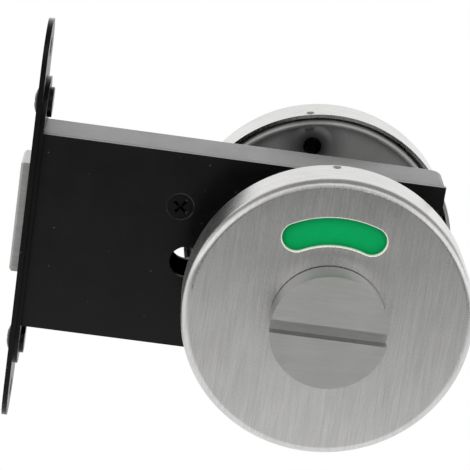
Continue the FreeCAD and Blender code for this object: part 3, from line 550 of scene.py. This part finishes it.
def black_coating(name, base, roughness, specular=0.25, sheen=0.0, ring=None):
    """Matt coating with specks of dust, soft light on its level faces, and a painted highlight ring if given."""
    material, tree, surface, place = new_material(name)
    mottle = noise(tree, place, MOTTLE_SCALE, 4.0, 0.6)
    specks = use_group(tree, "Specks", {"Vector": place})["Mask"]
    dust = maths(tree, "MULTIPLY", specks, flat_mask(tree))
    shade = maths(tree, "ADD", spread(tree, mottle, *NOISE_RANGE, *MOTTLE),
                  maths(tree, "MULTIPLY", dust, DUST_BRIGHTNESS))
    # Painted highlight: a light line round the cover screw's head
    if ring is not None:
        painted_shine = maths(tree, "MULTIPLY", painted_highlight_ring(tree, place, *ring), PAINTED_RING_BRIGHTNESS)
        shade = maths(tree, "ADD", shade, painted_shine)
    rough = spread(tree, mottle, *NOISE_RANGE, roughness - MOTTLE_ROUGHNESS,
                   roughness + MOTTLE_ROUGHNESS)
    grain = relief(tree, noise(tree, place, GRAIN_SCALE), GRAIN_STRENGTH, GRAIN_DEPTH)
    glow = spread(tree, normal_parts(tree)[2], *LEVEL_RANGE, 0.0, sheen)
    give(tree, surface, {"Base Color": tint(tree, shade, base), "Roughness": rough,
                         "Specular IOR Level": specular, "Normal": grain,
                         "Sheen Weight": glow, "Sheen Roughness": SHEEN_ROUGHNESS})
    return material


def enamel(name, base):
    material, tree, surface, place = new_material(name)
    clouds = spread(tree, noise(tree, place, ENAMEL_SCALE, 3.0), *NOISE_RANGE, *CLOUDS)
    give(tree, surface, {"Base Color": tint(tree, clouds, base), "Roughness": 0.5,
                         "Specular IOR Level": 0.04})
    return material


def painted_edge_highlight(name, base):
    """Cut edge of the sheet, coloured near white as a painted highlight."""
    material, tree, surface, place = new_material(name)
    nicks = spread(tree, noise(tree, place, NICK_SCALE, 3.0), *NOISE_RANGE, *NICKS)
    give(tree, surface, {"Base Color": tint(tree, nicks, base), "Metallic": 0.35,
                         "Roughness": 0.45})
    return material


def material_for(key):
    """The finish called key, made when it is first asked for."""
    name = key + "_finish"
    found = bpy.data.materials.get(name)
    if found is not None:
        return found
    if "Brushing" not in bpy.data.node_groups:
        build_brushing()
        build_specks()
    finish = bpy.context.scene.lock_finishes
    black, rough, sheen = finish.black, finish.black_roughness, finish.black_sheen
    upright, level = (1, 1, LINE_SHARE), (LINE_SHARE, 1, 1)

    # Mounting plates, with painted shade round their upper screw seat
    def plate(node):
        return brushed_metal(name, finish.mount, 0.4, upright, depth=0.002 * MM, contrast=0.04,
                             metal=0.6, painted_shade_at=dimple_of(node))

    recipes = {
        "rose_steel": lambda: brushed_metal(name, finish.steel, finish.steel_roughness, upright),
        "turn_steel": lambda: brushed_metal(name, finish.turn, finish.turn_roughness, level,
                                            depth=0.003 * MM, contrast=0.04, on_flats=0.4),
        "outer_plate": lambda: plate("outer_mount_plate"),
        "inner_plate": lambda: plate("inner_mount_plate"),
        "bolt_steel": lambda: brushed_metal(name, finish.bolt, 0.3, level, on_flats=0.3),
        "zinc_steel": lambda: brushed_metal(name, finish.plate, 0.38, level, depth=0.002 * MM),
        "spring_steel": lambda: brushed_metal(name, finish.spring, 0.3, level, depth=0.001 * MM),
        "painted_highlight_edge": lambda: painted_edge_highlight(name, finish.window_edge_highlight),
        "black_coat": lambda: black_coating(name, black, rough, 0.28, sheen),
        "cover_coat": lambda: black_coating(name, black, rough, 0.28, sheen,
                                            ring=ring_round("cover_screw")),
        "black_plate": lambda: black_coating(name, black, rough, 0.2, sheen),
        "black_screw": lambda: black_coating(name, black, rough - 0.06, 0.22),
        "green_enamel": lambda: enamel(name, finish.green),
        "red_enamel": lambda: enamel(name, finish.red),
        "dark_bush": lambda: black_coating(name, finish.bush, 0.5),
    }
    return recipes[key]()


# Forms that are finer than the solids


def edge_window(rose, bright):
    """Give the arched window's cut edge, between the bush and the rim, its own finish, a painted highlight."""
    rose.data.materials.append(bright)
    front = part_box("outer_rose")[0][1]
    bush, rim = (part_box(node)[1][0] - SPINDLE[0] for node in ("outer_bush", "outer_rose"))
    for face in rose.data.polygons:
        edge = face.center.y < front + WINDOW_DEPTH and face.normal.y > -FACE_NORMAL
        if edge and bush < off_axis(face.center) < rim - RIM_MARGIN:
            face.material_index = 1


def ring_round(node):
    """Centre and radius of the painted highlight line round a screw's head."""
    low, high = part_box(node)
    return halfway(low, high), (high[0] - low[0]) / 2 + RING_GAP


def turned_screw(node):
    """Screw turned to the place where it was tightened, with the mouth of its recess opened."""
    work = merged(node)
    low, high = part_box(node)
    centre = halfway(low, high)
    for point in work.verts:
        in_recess = RECESS_MIDDLE < off_axis(point.co, centre) < RECESS_REACH
        if in_recess and point.co.y < low[1] + HAIRLINE:
            for axis in (0, 2):
                point.co[axis] += (point.co[axis] - centre[axis]) * RECESS_OPENING
    bmesh.ops.rotate(work, verts=work.verts, cent=centre, matrix=Matrix.Rotation(SCREW_TURN, 3, "Y"))
    return finished(work, node)


def seats_of(node, work):
    """Points of a mounting plate's pressed screw seats, and the height of its web."""
    low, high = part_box(node)
    inner = node.startswith("inner")
    web = low[1] + WEB_DEPTH if inner else high[1] - WEB_DEPTH
    widest = (high[0] - low[0]) / 2 - RIM_MARGIN / 2
    over = [point for point in work.verts
            if abs(point.co.y - web) > HAIRLINE and (point.co.y < web) == inner]
    return [point for point in over if off_axis(point.co) < widest], web


def dimple_of(node):
    """Centre of the upper screw seat of a mounting plate."""
    work = merged(node)
    seats, web = seats_of(node, work)
    centre = middle([point for point in seats if point.co.z > SPINDLE[2]])
    work.free()
    return centre


def shallow_dimples(node):
    """Mounting plate whose pressed screw seats stand a little over its web."""
    work = merged(node)
    seats, web = seats_of(node, work)
    for point in seats:
        point.co.y = web + (point.co.y - web) * DIMPLE_SHARE
    return finished(work, node, SOFT_PRESSING)


def flush_cover():
    """Cover whose edges lie in line with the case's sides, apart from the end at the plates."""
    work = merged("case_cover")
    low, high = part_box("case_cover")
    outer_low, outer_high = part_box("case_body")
    for point in work.verts:
        for axis in (0, 2):
            if high[axis] - point.co[axis] < COVER_EDGE:
                point.co[axis] += outer_high[axis] - high[axis] - HAIRLINE
            elif axis == 2 and point.co[axis] - low[axis] < COVER_EDGE:
                point.co[axis] += outer_low[axis] - low[axis] + HAIRLINE
    return finished(work, "case_cover")


def turned_coin(shape):
    """Coin turn whose side runs straight to a sharp edge at its face."""
    work = merged("coin_turn")
    low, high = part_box("coin_turn")
    face, foot = low[1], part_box("outer_rose")[0][1]
    widest = (high[0] - low[0]) / 2
    for point in work.verts:
        reach = off_axis(point.co)
        if reach > widest - SIDE_MARGIN and point.co.y < foot + WINDOW_DEPTH:
            share = (point.co.y - foot) / (face - foot)
            radius = shape.coin_foot + (shape.coin_face - shape.coin_foot) * share
            for axis in (0, 2):
                point.co[axis] = SPINDLE[axis] + (point.co[axis] - SPINDLE[axis]) * radius / reach
    return finished(work, "coin_turn")


# Operators, one for each group of pieces


class LOCK_OT_case(Operator):
    """Case, cover and the two plates across the door's edge, in matt black"""

    bl_idname = "lock.case"
    bl_label = "Case and Plates"

    def execute(self, context):
        dress(["case_body"], material_for("black_coat"))
        dress(["faceplate", "inner_forend"], material_for("black_plate"))
        settle(flush_cover(), "case_cover", material_for("cover_coat"))
        return {"FINISHED"}


class LOCK_OT_screws(Operator):
    """Cross-recess screws with their nuts, and the grub screw"""

    bl_idname = "lock.screws"
    bl_label = "Screws"

    def execute(self, context):
        repeat("faceplate_screws", material_for("black_screw"))
        repeat("forend_nuts", material_for("black_coat"))
        settle(turned_screw("cover_screw"), "cover_screw", material_for("black_screw"))
        dress(["grub_screw"], material_for("black_screw"))
        return {"FINISHED"}


class LOCK_OT_bolt(Operator):
    """Bolt with its tail and rivets"""

    bl_idname = "lock.bolt"
    bl_label = "Bolt"

    def execute(self, context):
        dress(["bolt_head"], material_for("bolt_steel"))
        dress(["bolt_tail"], material_for("zinc_steel"))
        repeat("bolt_rivets", material_for("zinc_steel"))
        return {"FINISHED"}


class LOCK_OT_works(Operator):
    """Follower, spindle, posts, spring and rings"""

    bl_idname = "lock.works"
    bl_label = "Inner Works"

    def execute(self, context):
        dress(["follower", "spindle", "cover_post", "spring_post"], material_for("zinc_steel"))
        dress(["detent_spring", "outer_retaining_ring", "inner_retaining_ring"],
              material_for("spring_steel"))
        return {"FINISHED"}


class LOCK_OT_roses(Operator):
    """Roses, their mounting plates and bushes"""

    bl_idname = "lock.roses"
    bl_label = "Roses"

    def execute(self, context):
        dress(["inner_rose"], material_for("rose_steel"))
        for side in ("outer", "inner"):
            node = side + "_mount_plate"
            settle(shallow_dimples(node), node, material_for(side + "_plate"))
        rose = finished(merged("outer_rose"), "outer_rose")
        settle(rose, "outer_rose", material_for("rose_steel"))
        # The window's cut edge gets a painted highlight
        edge_window(rose, material_for("painted_highlight_edge"))
        dress(["outer_bush", "inner_bush"], material_for("dark_bush"))
        return {"FINISHED"}


class LOCK_OT_turns(Operator):
    """Coin turn outside and thumb turn inside"""

    bl_idname = "lock.turns"
    bl_label = "Turns"

    def execute(self, context):
        settle(turned_coin(context.scene.lock_shape), "coin_turn", material_for("turn_steel"))
        dress(["thumb_turn"], material_for("turn_steel"))
        return {"FINISHED"}


class LOCK_OT_indicator(Operator):
    """Indicator disc with its green and red fields"""

    bl_idname = "lock.indicator"
    bl_label = "Indicator"

    def execute(self, context):
        dress(["indicator_disc"], material_for("zinc_steel"))
        dress(["unlocked_field"], material_for("green_enamel"))
        dress(["locked_field"], material_for("red_enamel"))
        return {"FINISHED"}


# Stage


def straight_view(tree, path):
    """One for what the camera sees itself, also through something clear."""
    return maths(tree, "MAXIMUM", path["Is Camera Ray"], path["Is Transmission Ray"])


def build_world():
    """White to the camera; for light and gloss, bright behind the lock and dim in front of it."""
    world = bpy.data.worlds.new("studio")
    bpy.context.scene.world = world
    world.use_nodes = True
    world.cycles.sampling_method = "NONE"
    tree = world.node_tree
    tree.nodes.clear()
    aside, along, up = parts_of(tree, add(tree, "ShaderNodeTexCoord").outputs["Generated"])
    over = maths(tree, "ARCTAN2", maths(tree, "MAXIMUM", up, 0.0), along)
    level = spread(tree, maths(tree, "ABSOLUTE", aside), *SIDE_RANGE, FRONT_MIDDLE, FRONT_SIDES)
    for limits, lower in ((SOFTBOX_FOOT, FRONT_SOFTBOX), (SOFTBOX_TOP, OVERHEAD),
                          (BACKDROP_TOP, BEHIND)):
        level = blended(tree, spread(tree, over, *limits, 0, 1), lower, level)
    plain = spread(tree, over, *BACKDROP_TOP, PLAIN_BEHIND, PLAIN_LIGHT)
    path = add(tree, "ShaderNodeLightPath").outputs
    strength = blended(tree, path["Is Glossy Ray"], plain, level)
    strength = blended(tree, straight_view(tree, path), strength, 1.0)
    light = add(tree, "ShaderNodeBackground", {"Strength": strength, "Color": (1, 1, 1, 1)})
    add(tree, "ShaderNodeOutputWorld", {0: light.outputs[0]})


def build_floor(drop):
    """White floor, which the steel sees fading to grey in front of the lock."""
    low = CAD_BOX[0][2] - drop
    mesh = bpy.data.meshes.new("floor")
    corners = [(x * FLOOR_REACH, y * FLOOR_REACH, low)
               for x, y in ((-1, -1), (1, -1), (1, 1), (-1, 1))]
    mesh.from_pydata(corners, [], [(0, 1, 2, 3)])
    floor = link(bpy.data.objects.new("floor", mesh))
    material, tree, surface, place = new_material("floor_paper")
    give(tree, surface, {"Base Color": (FLOOR_WHITE, FLOOR_WHITE, FLOOR_WHITE, 1),
                         "Roughness": FLOOR_ROUGHNESS})
    path = add(tree, "ShaderNodeLightPath").outputs
    faded = spread(tree, parts_of(tree, place)[1], *FLOOR_FADE, FLOOR_DIM, 1.0)
    strength = blended(tree, path["Is Camera Ray"], faded, 1.0)
    glow = add(tree, "ShaderNodeEmission", {"Strength": strength})
    seen = maths(tree, "MAXIMUM", straight_view(tree, path), path["Is Glossy Ray"])
    paper = tree.nodes["Principled BSDF"].outputs[0]
    mix = add(tree, "ShaderNodeMixShader", {0: seen, 1: paper, 2: glow.outputs[0]})
    give(tree, tree.nodes["Material Output"].inputs, {0: mix.outputs[0]})
    material.cycles.emission_sampling = "NONE"
    mesh.materials.append(material)


def build_lamp():
    lamp = bpy.data.lights.new("front_light", "AREA")
    lamp.shape = "RECTANGLE"
    lamp.size, lamp.size_y = LAMP_SIZE
    lamp.energy = LAMP_POWER
    light = link(bpy.data.objects.new("front_light", lamp))
    light.location = LAMP_PLACE
    towards = Vector(LAMP_TARGET) - Vector(LAMP_PLACE)
    light.rotation_euler = towards.to_track_quat("-Z", "Y").to_euler()
    light.visible_camera = light.visible_glossy = False


def build_camera(stage):
    camera = bpy.data.cameras.new("camera")
    camera.sensor_width, camera.lens = SENSOR_WIDTH, stage.lens
    camera.clip_start, camera.clip_end = CLIP
    viewer = link(bpy.data.objects.new("camera", camera))
    turn = Matrix.Rotation(-stage.yaw, 4, "Z") @ Matrix.Rotation(pi / 2 + stage.pitch, 4, "X")
    turn = turn @ Matrix.Rotation(stage.roll, 4, "Z")
    viewer.matrix_world = Matrix.Translation((stage.camera_x, stage.camera_y, stage.camera_z)) @ turn
    bpy.context.scene.camera = viewer


class LOCK_OT_stage(Operator):
    """Floor, lamp, world and camera"""

    bl_idname = "lock.stage"
    bl_label = "Stage"

    def execute(self, context):
        stage = context.scene.lock_stage
        context.scene.view_settings.view_transform = "Standard"
        build_world()
        build_floor(stage.floor_drop)
        build_lamp()
        build_camera(stage)
        return {"FINISHED"}


class LOCK_PT_panel(Panel):
    """Buttons and settings of the lock"""

    bl_label = "Thumb Turn Lock"
    bl_idname = "LOCK_PT_panel"
    bl_space_type = "VIEW_3D"
    bl_region_type = "UI"
    bl_category = "Lock"

    def draw(self, context):
        for operator in OPERATORS:
            self.layout.operator(operator.bl_idname)
        scene = context.scene
        for group in (scene.lock_finishes, scene.lock_shape, scene.lock_stage):
            for name in group.__annotations__:
                self.layout.prop(group, name)


OPERATORS = [LOCK_OT_stage, LOCK_OT_case, LOCK_OT_screws, LOCK_OT_bolt, LOCK_OT_works,
             LOCK_OT_roses, LOCK_OT_turns, LOCK_OT_indicator]
CLASSES = [LockFinishes, LockShape, LockStage, *OPERATORS, LOCK_PT_panel]


def register():
    for kind in CLASSES:
        bpy.utils.register_class(kind)
    bpy.types.Scene.lock_finishes = PointerProperty(type=LockFinishes)
    bpy.types.Scene.lock_shape = PointerProperty(type=LockShape)
    bpy.types.Scene.lock_stage = PointerProperty(type=LockStage)


def unregister():
    del bpy.types.Scene.lock_stage
    del bpy.types.Scene.lock_shape
    del bpy.types.Scene.lock_finishes
    for kind in reversed(CLASSES):
        bpy.utils.unregister_class(kind)


def main():
    register()
    for operator in OPERATORS:
        group, name = operator.bl_idname.split(".")
        getattr(getattr(bpy.ops, group), name)()


if __name__ == "__main__":
    main()
